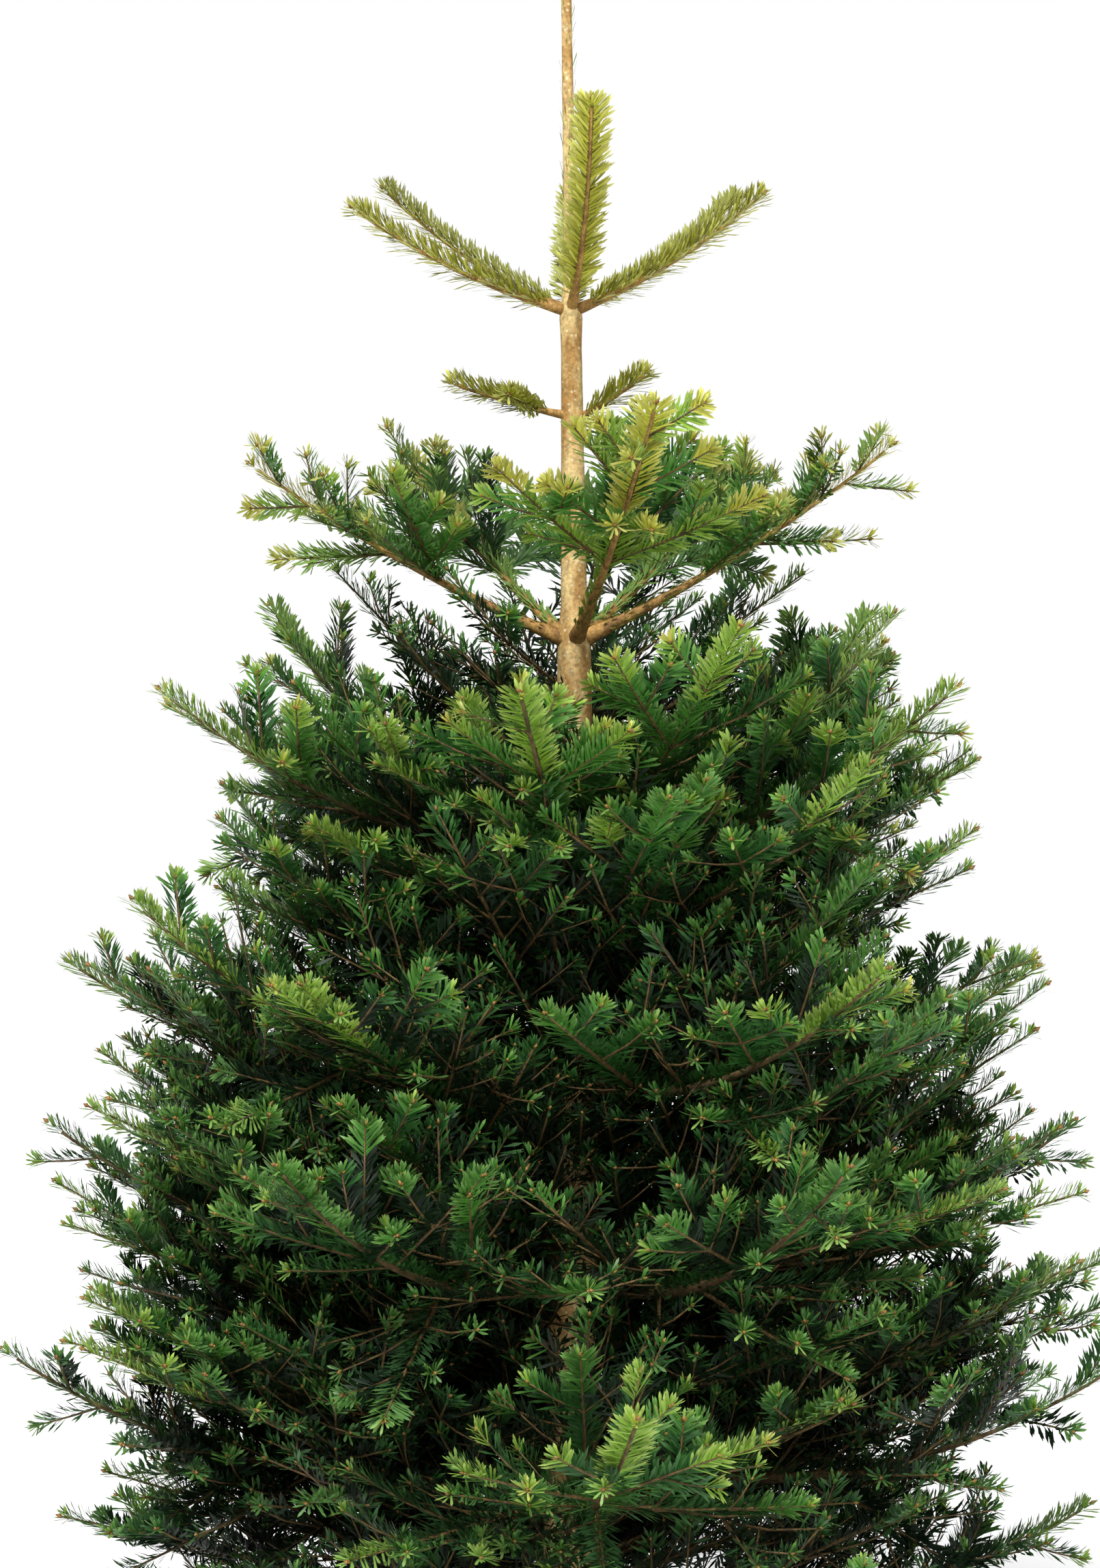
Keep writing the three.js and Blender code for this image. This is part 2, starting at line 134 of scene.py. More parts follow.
TWIG_TAPER = 8

# ---------------------------------------------------------------- directions and paths


def seeded(seed):
    """A seeded run of numbers from 0 to 1."""
    state = seed

    def draw():
        nonlocal state
        state = (state * 1664525 + 1013904223) % 4294967296
        return state / 4294967296

    return draw


def unit(v):
    """A direction, or rows of them, made one long."""
    return v / np.linalg.norm(v, axis=-1, keepdims=True)


def trunk_centre(height):
    """The trunk's middle at a height, in millimetres, as a place in metres."""
    return np.array([TRUNK_BOW * math.sin(math.pi * height / TRUNK_TIP), 0, height]) * MM


def make_limb(tier, compass, length_share, extra_pitch, draw):
    """A limb bends evenly from its pitch at the trunk to its pitch at the tip, and sweeps sideways."""
    length = tier["length"] * MM * length_share * (1 + LIMB_VARIATION * (2 * draw() - 1))
    sweep = LIMB_SWEEP * (2 * draw() - 1) * length
    turn = math.radians(compass)
    out = np.array([math.cos(turn), math.sin(turn), 0])
    return dict(root=trunk_centre(tier["height"]), length=length, sweep=sweep, out=out,
                side=np.array([-out[1], out[0], 0]), radius=tier["radius"] * MM,
                pitch=[math.radians(p + extra_pitch) for p in tier["pitch"]])


def limb_points(limb, shares):
    """The limb's places at some shares of its length, on an arc that also sweeps sideways."""
    start, end = limb["pitch"]
    here = start + (end - start) * shares
    run = limb["length"] * (np.sin(here) - math.sin(start)) / (end - start)
    rise = limb["length"] * (math.cos(start) - np.cos(here)) / (end - start)
    flat = run[:, None] * limb["out"] + (limb["sweep"] * shares**2)[:, None] * limb["side"]
    return limb["root"] + flat + rise[:, None] * np.array([0, 0, 1])


def limb_path(limb):
    """Gives the limb's places at some shares of its length, with the directions along it, to its left
    and out of its upper side."""

    def path(shares):
        shares = np.asarray(shares, float)
        along = unit(limb_points(limb, shares + 0.002) - limb_points(limb, shares - 0.002))
        across = unit(np.cross([0, 0, 1], along))
        return limb_points(limb, shares), along, across, np.cross(along, across)

    return path


def twig_path(start, length, rise, sweep=0):
    """The same for a twig that leaves a place in a direction, and bends up and sideways."""
    place, ahead, left, over = start

    def path(shares):
        s = np.asarray(shares, float)[:, None]
        points = place + ahead * length * s + over * rise * s**2 + left * sweep * s**2
        along = unit(ahead * length + 2 * s * (over * rise + left * sweep))
        up = unit(over - (along @ over)[:, None] * along)
        return points, along, np.cross(up, along), up

    return path


def branch(path, share, angle, lift, roll):
    """The start of a twig that leaves a path at an angle, lifted out of its plane and rolled."""
    place, along, across, over = (rows[0] for rows in path([share]))
    angle, lift, roll = (math.radians(a) for a in (angle, lift, roll))
    ahead = along * math.cos(angle) + across * math.sin(angle)
    ahead = unit(ahead * math.cos(lift) + over * math.sin(lift))
    left = unit(np.cross(over, ahead))
    left = left * math.cos(roll) + np.cross(ahead, left) * math.sin(roll)
    return place, ahead, left, np.cross(ahead, left)


# ---------------------------------------------------------------- growth

shoots = []  # every twig that carries needles


def in_own_space(space, end):
    """A limb's twigs keep to the slice of the crown round their own limb."""
    limb, half_slice = space
    off = end - limb["root"]
    turn = math.atan2(off @ limb["side"], off @ limb["out"])
    return abs(turn) < math.radians(half_slice) and end[2] > LOWEST_TIP * MM


def grow(start, length, tier, space, draw, kind="twig", order=1):
    """A twig, and the shoots that fork from it at the end of each year's growth."""
    vary = lambda size: (2 * draw() - 1) * size
    bend = BEND_UP if kind == "twig" and order == 1 else FINE_BEND_UP
    path = twig_path(start, length, (bend + vary(0.03)) * length, vary(0.05) * length)
    if length < SHORTEST * MM or not in_own_space(space, path([1])[0][0]):
        return
    shade = vary(0.5)
    thick = (TWIG_TIP + TWIG_TAPER * length) * MM
    shoots.append(dict(path=path, length=length, first=0.04, order=order, kind=kind, tier=tier,
                       space=space, shade=shade, seed=len(shoots), radius=(thick, TWIG_TIP * MM)))
    years = max(1, round(length / (tier["year"] * MM)))
    widest = tier["reach"] * MM / math.sin(math.radians(FORK["angle"]))
    for year in range(1, years + 1):
        share = (year - PAIR_BACK * draw()) / years
        for hand in (1, -1):
            turn = (hand * (FORK["angle"] + vary(FORK["angle_varies"])),
                    FORK["lift"] + vary(FORK["lift_varies"]), vary(FORK["roll_varies"]))
            left = length * (1 - share) * FORK["share"] * (1 + vary(FORK["share_varies"]))
            if year < years:
                grow(branch(path, share, *turn), min(left, widest), tier, space, draw, kind, order + 1)
            between = share - (BETWEEN["back"] + BETWEEN["back_varies"] * draw()) / years
            short = min(length * (1 - between) * BETWEEN["share"], BETWEEN["longest"] * MM)
            if draw() < BETWEEN["chance"] and length > 50 * MM:
                grow(branch(path, between, *turn), short * (0.8 + 0.4 * draw()), tier, space, draw,
                     kind, order + 2)


def turned(draw, angle, lift, varies):
    """An angle and a lift as they vary, and a roll."""
    vary = lambda size: (2 * draw() - 1) * size
    return (angle + vary(varies["angle_varies"]), lift + vary(varies["lift_varies"]),
            vary(varies["roll_varies"]))


def node_twigs(tier, limb, path, leafy, draw):
    """Where the twigs at a limb's nodes start, and their lengths, by the source's own draws."""
    starts = []
    spacing = (1 - leafy) / (tier["nodes"] + 0.25)
    for node in range(tier["nodes"]):
        share = leafy + spacing * (node + 0.12)
        left = limb["length"] * (1 - share)
        for hand in (1, -1):
            turn = turned(draw, hand * SIDE_TWIG["angle"], SIDE_TWIG["lift"], SIDE_TWIG)
            length = left * SIDE_TWIG["share"] * (1 + (2 * draw() - 1) * SIDE_TWIG["share_varies"])
            starts.append((branch(path, share, *turn), length))
        if tier["nodes"] == 1:
            continue
        for off in [UPPER_TWIG] if node else [UPPER_TWIG, LOWER_TWIG]:
            start = branch(path, share + off["step"] * spacing, *turned(draw, 0, off["lift"], OFF_TWIG))
            starts.append((start, min(OFF_TWIG["longest"] * MM, OFF_TWIG["share"] * left)))
    return starts


def fill_twigs(tier, limb, path, fine):
    """The same for the finer twigs between the nodes, which leave the limb on each side in turn."""
    starts = []
    first = tier["bare"] or FIRST_FILL
    count = round(limb["length"] * (LAST_FILL - first) / (tier.get("fill", FILL_STEP) * MM))
    for number in range(count):
        share = first + (LAST_FILL - first) * (number + 0.6 * fine()) / count
        angle, lift, part = FILL[number % len(FILL)]
        start = branch(path, share, *turned(fine, angle, lift, FILL_VARIES))
        left = limb["length"] * (1 - share) * part * (0.85 + 0.3 * fine())
        starts.append((start, max(left, SHORTEST_FILL * MM)))
    return starts


def grow_limb(tier, limb, space, draw, fine):
    """A limb's twigs, and the limb itself as a shoot that carries needles."""
    path = limb_path(limb)
    leafy = tier["bare"] or (FIRST_NODE if tier["nodes"] else 0.1)
    starts = node_twigs(tier, limb, path, leafy, draw)
    if tier["nodes"] > 1:
        starts += fill_twigs(tier, limb, path, fine)
    for start, length in starts:
        grow(start, length, tier, space, fine)
    shoots.append(dict(path=path, length=limb["length"], first=leafy, order=0, tier=tier, space=space,
                       kind="limb", shade=0.2 * (2 * fine() - 1), seed=len(shoots),
                       radius=(0.8 * limb["radius"], TIP_RADIUS * MM)))


limbs = []
for index, tier in enumerate(TIERS):
    for place, (compass, length_share, extra_pitch) in enumerate(tier["limbs"]):
        draw = seeded(1000 * (index + 1) + 37 * place + 5)
        limb = make_limb(tier, compass, length_share, extra_pitch, draw)
        space = (limb, 180 / len(tier["limbs"]) + SLICE_OVERLAP)
        tier["number"] = index + 1
        # the limb's painted light or shade, which its needles take
        limb["shade"] = LIMB_PAINTED_LIGHT.get((index, place), 0)
        grow_limb(tier, limb, space, draw, seeded(7000 + 100 * index + place))
        limbs.append((tier, limb))
for tier in SIDE_TWIGS:
    draw = seeded(tier["height"])
    limb = make_limb(tier, *tier["limbs"][0], draw)
    tier["number"] = 1
    grow_limb(tier, limb, (limb, 90), draw, seeded(tier["height"] + 1))
    limbs.append((tier, limb))


def grow_from_trunk(low, high, arcs, count, shares, pitch, shade=0.0):
    """Small branches straight out of the trunk between the tiers, in a slow spiral, within some arcs."""
    draw = seeded(4242 + count)
    for number in range(count):
        height = low + (high - low) * (number + draw()) / count
        compass = (137.5 * number + 40 * draw() + 180) % 360 - 180
        turn, rise = math.radians(compass), math.radians(pitch[0] + (pitch[1] - pitch[0]) * draw())
        out = np.array([math.cos(turn), math.sin(turn), 0])
        side = np.array([-out[1], out[0], 0])
        ahead = out * math.cos(rise) + np.array([0, 0, math.sin(rise)])
        radius = float(np.interp(height, *zip(*CROWN_RADIUS))) * MM
        grown = radius * (shares[0] + (shares[1] - shares[0]) * draw())
        if not any(first <= c <= last for first, last in arcs for c in (compass, compass + 360)):
            continue
        space = (dict(root=trunk_centre(height), side=side, out=out, length=radius, shade=shade), 40)
        # a small branch takes its tier's number, and so its painted light from above, from its height
        tier = dict(TIERS[4], number=min(7, max(3, round(8 - height / 170))))
        grow((trunk_centre(height), ahead, side, np.cross(ahead, side)), grown, tier, space, draw,
             "inner")


for run in SMALL_BRANCHES:
    grow_from_trunk(**run)

# ---------------------------------------------------------------- needles

# How needles stand on a shoot: how many to a millimetre, their length and width, their angle off the
# shoot, how far round from its upper side they start and end, and the share that stands on top.
BRUSH = dict(density=1.38, length=22, width=2.4, lean=47, varies=14, low=60, high=116, top=0.46)
SHORT = dict(density=3.3, length=22, width=2.4, lean=47, varies=14, low=50, high=130, top=0.42)
PRESSED = dict(density=1.6, length=16, width=2.0, lean=24, varies=10, low=20, high=170, top=0.2)
ROSETTE = dict(count=9, length=14, width=2.5, lean=44, varies=26)
NEAR_TIP = 0.985  # the share of a shoot where its needles end and its rosette stands
ON_TOP = dict(size=0.84, lean=8)  # the needles on top are shorter and lie closer to the shoot
ENDS = dict(foot=18, tip=14, size=0.62)  # over these lengths needles grow from this share of their size
INSIDE = 0.7  # the share of the way from the trunk to the crown's edge that counts as inside
HIDDEN_DENSITY = 0.3  # the needles of a shoot inside the crown in deep painted shade, over the others
LIMB_DENSITY = (1.3, 1.4)  # on a limb's older part and on its last years' growth, over the others
FRESH_PART = 0.24  # the share of a shoot, at its tip, with lighter needles
# needle tones, lightest first; which one a needle gets is mostly set by painted light and shade
TONES = ["fresh", "light", "mid", "dark", "deep"]
TONE_STEPS = [0.82, 0.6, 0.4, 0.2]
# painted light from above: the upper tiers' needles are lighter and the lower tiers' darker
TIER_PAINTED_LIGHT = {1: 0.95, 2: 0.79, 3: 0.58, 4: 0.44, 5: 0.37, 6: 0.35, 7: 0.36}
OUTER = 0.9  # how far out needles have their tier's own painted light
PAINTED_SHADE_INSIDE = 0.72  # how much darker they are painted at the trunk: painted shade inside the crown
SHADE_STEP = 0.22  # how much a shoot's shade, its own random one and the painted shade of its limb, changes its light
BASE_LIGHT, TIP_PART_LIGHT, ROSETTE_PALE_AND_HIGHLIGHT = -0.08, 0.2, 0.32  # how much lighter each part is; the rosette's is partly paler new growth and partly a painted highlight
FRESH_YEARS = 1.6  # how many years' growth at a limb's tip are fresh
SLIM_WIDTH = 1.25  # makes up for the corner that the darker needles go without
bunches = {tone: [] for tone in TONES}


def needle_corners(root, ahead, over, length, width, curl, slim):
    """A needle's foot, its two shoulders and its blunt tip between them. The foot of a darker needle is
    one corner, and that of a lighter one is two."""
    flat = unit(np.cross(over, ahead))
    up = np.cross(ahead, flat)
    reach, half = ahead * length[:, None], flat * (0.5 * width[:, None])
    lifted = up * (curl * length)[:, None]
    shoulder = root + (0.62 if slim else 0.8) * reach + 0.6 * lifted
    foot = [root] if slim else [root - 0.5 * half, root + 0.5 * half]
    return np.stack([*foot, shoulder + half, root + reach + lifted, shoulder - half], 1)


def tone_of(light):
    """The tone of needles that are this light, from about 0 to 1."""
    for tone, step in zip(TONES, TONE_STEPS):
        if light > step:
            return tone
    return TONES[-1]


def outwardness(shoot):
    """From 0 at the trunk to 1 at the limb's tip."""
    limb = shoot["space"][0]
    end = shoot["path"]([1.0])[0][0]
    off = end - limb["root"]
    return min(1.0, math.hypot(off[0], off[1]) / max(limb["length"], 0.05))


def add_needles(root, ahead, over, length, width, light, random):
    """Deals a run of needles to the piece of their tone, with a tint of its own for each."""
    count, tone = len(root), tone_of(light)
    slim = tone in TONES[-2:]
    width = width * (SLIM_WIDTH if slim else 1)
    corners = needle_corners(root, ahead, over, length, width, random.uniform(0.02, 0.12, count), slim)
    tint = np.clip(0.5 + 0.2 * random.standard_normal(count), 0, 1)
    bunches[tone].append((corners, tint))


def clothe(shoot):
    """The needles of one shoot."""
    random = np.random.default_rng(shoot["seed"] + 11)
    number, order = shoot["tier"]["number"], shoot["order"]
    style = SHORT if number == 1 else BRUSH
    # the needles' light: painted light from above by tier, painted shade inside the crown and on some
    # limbs, and each shoot's random tone
    shade = shoot["shade"] + shoot["space"][0].get("shade", 0)
    painted_shade = PAINTED_SHADE_INSIDE * (outwardness(shoot) - OUTER) if number > 1 else 0
    light = TIER_PAINTED_LIGHT[number] + painted_shade + SHADE_STEP * shade
    density = last = style["density"]
    fresh = max(shoot["first"], 1 - FRESH_PART)
    if order == 0 and number > 1:
        density, last = (style["density"] * part for part in LIMB_DENSITY)
        fresh = max(shoot["first"], 1 - FRESH_YEARS * shoot["tier"]["year"] * MM / shoot["length"])
    elif outwardness(shoot) < INSIDE and tone_of(light + BASE_LIGHT) == "deep":
        density *= HIDDEN_DENSITY
        last *= HIDDEN_DENSITY
    spread(shoot, style, density, shoot["first"], fresh, light + BASE_LIGHT, random)
    spread(shoot, style, last, fresh, NEAR_TIP, light + TIP_PART_LIGHT, random)
    rosette(shoot, light + ROSETTE_PALE_AND_HIGHLIGHT, random)


def spread(shoot, style, density, first, last, light, random):
    """Needles along part of a shoot, in two ranks with some on top, shorter at its foot and tip."""
    length = shoot["length"]
    count = max(1, int(density * length * (last - first) / MM))
    share = first + (last - first) * (np.arange(count) + random.random(count)) / count
    root, along, across, over = shoot["path"](share)
    hand = np.where(np.arange(count) % 2, 1.0, -1.0)
    on_top = random.random(count) < style["top"]
    low, high = math.radians(style["low"]), math.radians(style["high"])
    turn = np.where(on_top, low * random.random(count), low + (high - low) * random.random(count))
    lean = style["lean"] + style["varies"] * random.uniform(-1, 1, count)
    lean -= np.where(on_top, ON_TOP["lean"], 0)
    lean = np.radians(lean)[:, None]
    out = np.sin(hand * turn)[:, None] * across + np.cos(turn)[:, None] * over
    ahead = unit(np.cos(lean) * along + np.sin(lean) * out)
    thick, thin = shoot["radius"]
    root = root + out * (0.9 * (thick + (thin - thick) * share))[:, None]
    face = over - 0.7 * np.cos(turn)[:, None] * along + 0.35 * random.uniform(-1, 1, (count, 3))
    edge = np.minimum((share - shoot["first"]) * length / (ENDS["foot"] * MM),
                      (1 - share) * length / (ENDS["tip"] * MM))
    grown = ENDS["size"] + (1 - ENDS["size"]) * np.clip(edge, 0, 1)
    size = style["length"] * MM * grown * random.uniform(0.88, 1.1, count)
    size = size * np.where(on_top, ON_TOP["size"], 1)
    width = style["width"] * MM * random.uniform(0.9, 1.1, count)
    add_needles(root, ahead, face, size, width, light, random)


def rosette(shoot, light, random):
    """Short pale needles round the bud at a shoot's tip; their paleness is partly a painted highlight.
    """
    count = ROSETTE["count"]
    root, along, across, over = (np.repeat(rows, count, 0) for rows in shoot["path"]([NEAR_TIP]))
    turn = (np.arange(count) + random.random(count)) * 2 * math.pi / count
    lean = np.radians(ROSETTE["lean"] + ROSETTE["varies"] * random.uniform(-1, 1, count))[:, None]
    out = np.sin(turn)[:, None] * across + np.cos(turn)[:, None] * over
    ahead = np.cos(lean) * along + np.sin(lean) * out
    size = ROSETTE["length"] * MM * random.uniform(0.75, 1.1, count)
    width = ROSETTE["width"] * MM * random.uniform(0.9, 1.1, count)
    add_needles(root, ahead, along + over, size, width, light, random)


for shoot in shoots:
    clothe(shoot)

# needles pressed to the bare boughs, and to the leader
PRESSED_START = 0.08
PRESSED_LIGHT = -0.1
for shoot in [s for s in shoots if s["kind"] == "limb" and s["tier"]["bare"]]:
    light = TIER_PAINTED_LIGHT[shoot["tier"]["number"]] + PRESSED_LIGHT
    spread(shoot, PRESSED, PRESSED["density"], PRESSED_START, shoot["first"], light,
           np.random.default_rng(shoot["seed"]))

LEADER_FOOT, LEADER_LENGTH = 1345, 270


def leader_path(shares):
    heights = LEADER_FOOT + LEADER_LENGTH * np.asarray(shares, float)
    points = np.array([trunk_centre(h) for h in heights])
    along = np.tile([0.0, 0, 1], (len(points), 1))
    return points, along, np.tile([0.0, 1, 0], (len(points), 1)), np.tile([-1.0, 0, 0], (len(points), 1))


leader = dict(path=leader_path, length=LEADER_LENGTH * MM, first=0, radius=(0.0058, 0.0046))
ALL_ROUND = dict(PRESSED, lean=20, varies=8, low=90, high=180, top=0.5)
for first, last, density in ((0.0, 0.55, 0.9), (0.55, 0.93, 0.25)):
    spread(leader, ALL_ROUND, density, first, last, 0.78, np.random.default_rng(3))
TIP_TUFT = dict(SHORT, low=90, high=180, top=0.5)
spread(leader, TIP_TUFT, 2.2, 0.93, 1.0, 0.9, np.random.default_rng(4))

# ---------------------------------------------------------------- meshes from arrays


def joined_mesh(name, corners, triangles):
    """One mesh of many small things: corners in rows of one thing each, and one thing's triangles."""
    things, each = corners.shape[:2]
    faces = (triangles[None] + each * np.arange(things)[:, None, None]).reshape(-1, 3)
    mesh = bpy.data.meshes.new(name)
    mesh.vertices.add(things * each)
    mesh.vertices.foreach_set("co", corners.reshape(-1).astype(np.float32))
    mesh.loops.add(faces.size)
    mesh.loops.foreach_set("vertex_index", faces.reshape(-1).astype(np.int32))
    mesh.polygons.add(len(faces))
    mesh.polygons.foreach_set("loop_start", np.arange(0, faces.size, 3, dtype=np.int32))
    mesh.update(calc_edges=True)
    return mesh


def point_values(mesh, name, values):
    mesh.attributes.new(name, "FLOAT", "POINT").data.foreach_set("value", values.astype(np.float32))


def add_piece(name, mesh, material, nodes):
    """A piece of the tree that moves with its body and stands in for some of the nodes."""
    piece = bpy.data.objects.new(name, mesh)
    bpy.context.scene.collection.objects.link(piece)
    mesh.materials.append(material)
    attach(piece, "root")
    if nodes:
        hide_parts(*nodes)
    return piece


MOST_TRIANGLES = 180000  # in one piece
NEEDLE_FACES = {4: np.array([[0, 1, 3], [3, 1, 2]]), 5: np.array([[0, 1, 2], [0, 2, 4], [4, 2, 3]])}
NEEDLE_OUT = {4: [0, 0.7, 1, 0.7], 5: [0, 0, 0.8, 1, 0.8]}  # from 0 at the foot to 1 at the tip


def needle_mesh(name, bunch):
    """The needles of one piece, with each one's tint and how far out each corner is."""
    corners = np.concatenate([c for c, _ in bunch])
    tint = np.concatenate([t for _, t in bunch])
    count, each = corners.shape[:2]
    mesh = joined_mesh(name, corners, NEEDLE_FACES[each])
    point_values(mesh, "tint", np.repeat(tint, each))
    point_values(mesh, "out", np.tile(NEEDLE_OUT[each], count))
    return mesh


TWIG_SIDES, TWIG_RINGS = 3, 3


def tubes(paths, sides, rings):
    """Tapering twigs as one array: a ring of corners at each step, closed at the tip."""
    turn = 2 * math.pi * np.arange(sides) / sides
    rows = []
    for path, first, last, thick, thin in paths:
        share = np.linspace(first, last, rings)
        place, _, across, over = path(share)
        radius = np.linspace(thick, thin, rings)[:, None, None]
        ring = (np.cos(turn)[None, :, None] * across[:, None]
                + np.sin(turn)[None, :, None] * over[:, None])
        rows.append((place[:, None] + radius * ring).reshape(-1, 3))
    return np.array(rows)


def tube_faces(sides, rings):
    faces = []
    for ring in range(rings - 1):
        for side in range(sides):
            a, b = ring * sides + side, ring * sides + (side + 1) % sides
            faces += [(a, b, b + sides), (a, b + sides, a + sides)]
    last = (rings - 1) * sides
    faces += [(last, last + side, last + side + 1) for side in range(1, sides - 1)]
    return np.array(faces)


BUD_SIDES = 4
BUD_LENGTH, BUD_WIDTH = 6.2, 4.0
SIDE_BUDS = [(42, 0.75), (-42, 0.75)]  # degrees off the shoot, and size over the end bud's
SIDE_BUDS_FROM = 0.7  # how far out shoots have them


def bud_corners(place, ahead, left, length, width):
    """A pointed bud: its foot, a ring round its widest part, and its tip."""
    turn = 2 * math.pi * np.arange(BUD_SIDES) / BUD_SIDES
    over = np.cross(ahead, left)
    ring = place + 0.4 * length * ahead + 0.5 * width * (
        np.cos(turn)[:, None] * left + np.sin(turn)[:, None] * over)
    return np.vstack([place, ring, place + length * ahead])


def bud_faces():
    ring = [(1 + i, 1 + (i + 1) % BUD_SIDES) for i in range(BUD_SIDES)]
    return np.array([(0, b, a) for a, b in ring] + [(a, b, BUD_SIDES + 1) for a, b in ring])


def all_buds():
    """A bud at each shoot's tip, with one smaller to either side near the outside of the crown."""
    rows = []
    for shoot in shoots:
        draw = seeded(shoot["seed"] * 13 + 1)
        place, ahead, left, _ = (r[0] for r in shoot["path"]([1.0]))
        for turn, size in [(0, 1)] + (SIDE_BUDS if outwardness(shoot) > SIDE_BUDS_FROM else []):
            a = math.radians(turn + 10 * draw())
            ahead_now = ahead * math.cos(a) + left * math.sin(a)
            left_now = left * math.cos(a) - ahead * math.sin(a)
            size *= 0.85 + 0.3 * draw()
            rows.append(bud_corners(place - MM * ahead, ahead_now, left_now, BUD_LENGTH * MM * size,
                                    BUD_WIDTH * MM * size))
    return np.array(rows)


# ---------------------------------------------------------------- materials


def linear(red, green, blue):
    """A display colour, 0 to 255, as the shader takes it."""
    values = [c / 255 for c in (red, green, blue)]
    return tuple(c / 12.92 if c < 0.04045 else ((c + 0.055) / 1.055) ** 2.4 for c in values) + (1.0,)


class Nodes:
    """A short way to add nodes to a tree and join them."""

    def __init__(self, tree):
        self.tree = tree

    def add(self, kind, inputs=(), **settings):
        node = self.tree.nodes.new(kind)
        for name, value in settings.items():
            setattr(node, name, value)
        for name, value in dict(inputs).items():
            if isinstance(value, bpy.types.NodeSocket):
                self.tree.links.new(value, node.inputs[name])
            else:
                node.inputs[name].default_value = value
        return node

    def mix(self, factor, a, b, blend="MIX"):
        node = self.add("ShaderNodeMix", data_type="RGBA", blend_type=blend)
        for place, value in ((0, factor), (6, a), (7, b)):
            if isinstance(value, bpy.types.NodeSocket):
                self.tree.links.new(value, node.inputs[place])
            else:
                node.inputs[place].default_value = value
        return node.outputs[2]

    def math(self, operation, a, b=0.0):
        node = self.add("ShaderNodeMath", operation=operation)
        for place, value in ((0, a), (1, b)):
            if isinstance(value, bpy.types.NodeSocket):
                self.tree.links.new(value, node.inputs[place])
            else:
                node.inputs[place].default_value = value
        return node.outputs[0]

    def ramp(self, factor, stops):
        node = self.add("ShaderNodeValToRGB", {"Fac": factor})
        elements = node.color_ramp.elements
        for _ in stops[2:]:
            elements.new(0.5)
        for element, (at, colour) in zip(elements, stops):
            element.position, element.color = at, colour
        return node.outputs["Color"]


def group(name, inputs, outputs):
    tree = bpy.data.node_groups.new(name, "ShaderNodeTree")
    for label, kind in inputs:
        tree.interface.new_socket(label, in_out="INPUT", socket_type=f"NodeSocket{kind}")
    for label, kind in outputs:
        tree.interface.new_socket(label, in_out="OUTPUT", socket_type=f"NodeSocket{kind}")
    nodes = Nodes(tree)
    return tree, nodes, nodes.add("NodeGroupInput"), nodes.add("NodeGroupOutput")


def needle_group():
    """The tint of each needle, a paler blunt end that is partly a painted highlight, and slow changes
    from spray to spray.
    """
    tree, nodes, given, result = group(
        "needle_tint", [("Colour", "Color"), ("Tip Colour", "Color")], [("Colour", "Color")])
    tint = nodes.add("ShaderNodeAttribute", attribute_name="tint").outputs["Fac"]
    out = nodes.add("ShaderNodeAttribute", attribute_name="out").outputs["Fac"]
    place = nodes.add("ShaderNodeTexCoord").outputs["Object"]
    slow = nodes.add("ShaderNodeTexNoise", {"Vector": place, "Scale": 14.0, "Detail": 1.0})
    pale_tip_and_highlight = nodes.math("MULTIPLY", nodes.math("POWER", out, 3.0), 0.62)
    colour = nodes.mix(pale_tip_and_highlight, given.outputs["Colour"], given.outputs["Tip Colour"])
    value = nodes.math("ADD", nodes.math("MULTIPLY", tint, 0.7),
                       nodes.math("MULTIPLY", slow.outputs["Fac"], 0.6))
    bright = nodes.add("ShaderNodeHueSaturation",
                       {"Color": colour, "Value": nodes.math("ADD", value, 0.35)})
    tree.links.new(bright.outputs["Color"], result.inputs["Colour"])
    return tree


def bark_group():
    """Mottled bark with lighter flecks, and its fine relief."""
    tree, nodes, given, result = group(
        "bark", [("Light", "Color"), ("Dark", "Color"), ("Fleck", "Color"), ("Size", "Float")],
        [("Colour", "Color"), ("Height", "Float")])
    place = nodes.add("ShaderNodeTexCoord").outputs["Object"]
    squashed = nodes.add("ShaderNodeMapping", {"Vector": place, "Scale": (1, 1, 0.45)}).outputs[0]
    size = given.outputs["Size"]
    patches = nodes.add("ShaderNodeTexNoise", {"Vector": squashed, "Scale": size, "Detail": 5.0,
                                               "Roughness": 0.62}).outputs["Fac"]
    finer = nodes.add("ShaderNodeTexNoise", {"Vector": place, "Scale": nodes.math("MULTIPLY", size, 5.0),
                                             "Detail": 3.0}).outputs["Fac"]
    blisters = nodes.add("ShaderNodeTexVoronoi", {"Vector": place,
                                                  "Scale": nodes.math("MULTIPLY", size, 2.6)})
    fleck = nodes.math("LESS_THAN", blisters.outputs["Distance"], 0.2)
    black, white = (0, 0, 0, 1), (1, 1, 1, 1)
    mask = nodes.ramp(patches, [(0.38, black), (0.62, white)])
    colour = nodes.mix(mask, given.outputs["Dark"], given.outputs["Light"])
    colour = nodes.mix(nodes.math("MULTIPLY", fleck, 0.55), colour, given.outputs["Fleck"])
    speck = nodes.ramp(finer, [(0.3, (0.55, 0.55, 0.55, 1)), (0.6, white)])
    colour = nodes.mix(1.0, colour, speck, "MULTIPLY")
    tree.links.new(colour, result.inputs["Colour"])
    height = nodes.math("ADD", nodes.math("MULTIPLY", patches, 0.6), nodes.math("MULTIPLY", finer, 0.4))
    tree.links.new(nodes.math("SUBTRACT", height, nodes.math("MULTIPLY", fleck, -0.3)),
                   result.inputs["Height"])
    return tree


